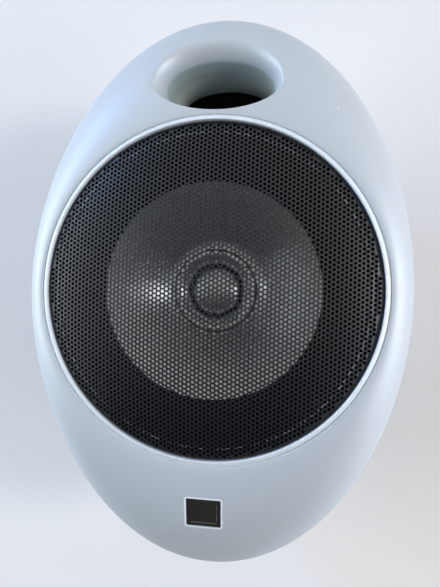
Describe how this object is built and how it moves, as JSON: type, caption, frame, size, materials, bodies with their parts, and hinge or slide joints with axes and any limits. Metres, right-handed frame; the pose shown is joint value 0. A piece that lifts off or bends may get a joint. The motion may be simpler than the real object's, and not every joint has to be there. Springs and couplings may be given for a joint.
{
  "type": "coaxial satellite loudspeaker",
  "caption": "Egg-shaped two-way coaxial satellite loudspeaker with a domed perforated grille, a flared reflex port and rear binding posts.",
  "frame": {"origin": "centre of the flat rear land, on which the speaker lies on its back", "axes": "+Z the way the driver fires, +Y along the long axis towards the port, +X to the right seen from the front"},
  "size_m": [0.13, 0.188, 0.1134],
  "materials": {
    "silver_paint": "satin metallic paint",
    "chrome_bead": "satin bright plated bead",
    "black_steel": "black powder-coated perforated steel",
    "black_plastic": "fine moulded texture",
    "red_plastic": "fine moulded texture",
    "gloss_black": "polished",
    "rubber": "matt",
    "silver_cone": "satin metallised",
    "cast_alloy": "black coated casting",
    "doped_cloth": "resin-doped cloth",
    "kapton": "polyimide film",
    "copper": "enamelled copper wire",
    "zinc_steel": "zinc plated",
    "ferrite": "ground ferrite",
    "brass": "bright",
    "circuit_board": "solder mask",
    "capacitor_sleeve": "shrink sleeve",
    "cement": "matt",
    "felt": "needle felt"
  },
  "bodies": {
    "cabinet": {"front_shell": "silver_paint", "rear_shell": "silver_paint", "seam_seal": "rubber", "cabinet_lining": "felt", "port_tube": "black_plastic", "trim_ring": "chrome_bead", "grille": "black_steel", "bracket_insert": "brass", "badge_plate": "gloss_black", "basket": "cast_alloy", "basket_gasket": "rubber", "surround": "rubber", "spider": "doped_cloth", "front_plate": "zinc_steel", "ring_magnet": "ferrite", "yoke": "zinc_steel", "bucking_magnet": "ferrite", "shield_can": "zinc_steel", "tag_strip": "cement", "tweeter_cup": "zinc_steel", "tweeter_magnet": "ferrite", "tweeter_pole_disc": "zinc_steel", "tweeter_surround": "rubber", "tweeter_waveguide": "silver_cone", "terminal_panel": "black_plastic", "crossover_board": "circuit_board", "air_core_inductor": "copper", "ferrite_inductor": "copper", "capacitor_large": "capacitor_sleeve", "capacitor_small": "capacitor_sleeve", "ballast_resistor": "cement", "stud_left": "brass", "collar_left": "red_plastic", "nut_left": "zinc_steel", "panel_screw_left": "zinc_steel", "input_wire_left": "red_plastic", "driver_wire_left": "red_plastic", "stud_right": "brass", "collar_right": "black_plastic", "nut_right": "zinc_steel", "panel_screw_right": "zinc_steel", "input_wire_right": "black_plastic", "driver_wire_right": "black_plastic", "driver_screw_1": "zinc_steel", "cabinet_screw_1": "zinc_steel", "driver_screw_2": "zinc_steel", "cabinet_screw_2": "zinc_steel", "driver_screw_3": "zinc_steel", "cabinet_screw_3": "zinc_steel", "driver_screw_4": "zinc_steel", "cabinet_screw_4": "zinc_steel"},
    "woofer_diaphragm": {"cone": "silver_cone", "voice_coil_former": "kapton", "voice_coil_winding": "copper"},
    "tweeter_diaphragm": {"tweeter_dome": "silver_cone", "tweeter_coil": "copper"},
    "sleeve_left": {"sleeve_left": "brass"},
    "cap_left": {"cap_left": "red_plastic"},
    "sleeve_right": {"sleeve_right": "brass"},
    "cap_right": {"cap_right": "black_plastic"}
  },
  "joints": [
    {"name": "woofer_excursion", "type": "slide", "parent": "cabinet", "child": "woofer_diaphragm", "axis": [0, 0, 1], "range_m": [-0.0025, 0.0025], "stiffness_N_per_m": 1500, "deforming": ["surround", "spider"]},
    {"name": "tweeter_excursion", "type": "slide", "parent": "cabinet", "child": "tweeter_diaphragm", "axis": [0, 0, 1], "range_m": [-0.0003, 0.0003], "stiffness_N_per_m": 2500, "deforming": ["tweeter_surround"]},
    {"name": "cap_left_travel", "type": "slide", "parent": "cabinet", "child": "sleeve_left", "axis": [0, 0, -1], "range_m": [0, 0.00349]},
    {"name": "cap_left_turn", "type": "hinge", "parent": "sleeve_left", "child": "cap_left", "pos_m": [-0.00953, -0.047, 0.014], "axis": [0, 0, -1], "range_deg": [0, 1800]},
    {"name": "cap_right_travel", "type": "slide", "parent": "cabinet", "child": "sleeve_right", "axis": [0, 0, -1], "range_m": [0, 0.00349]},
    {"name": "cap_right_turn", "type": "hinge", "parent": "sleeve_right", "child": "cap_right", "pos_m": [0.00953, -0.047, 0.014], "axis": [0, 0, -1], "range_deg": [0, 1800]}
  ],
  "couplings": [
    {"joint": "cap_left_turn", "follows": "cap_left_travel", "rad_per_m": 8976},
    {"joint": "cap_right_turn", "follows": "cap_right_travel", "rad_per_m": 8976}
  ]
}
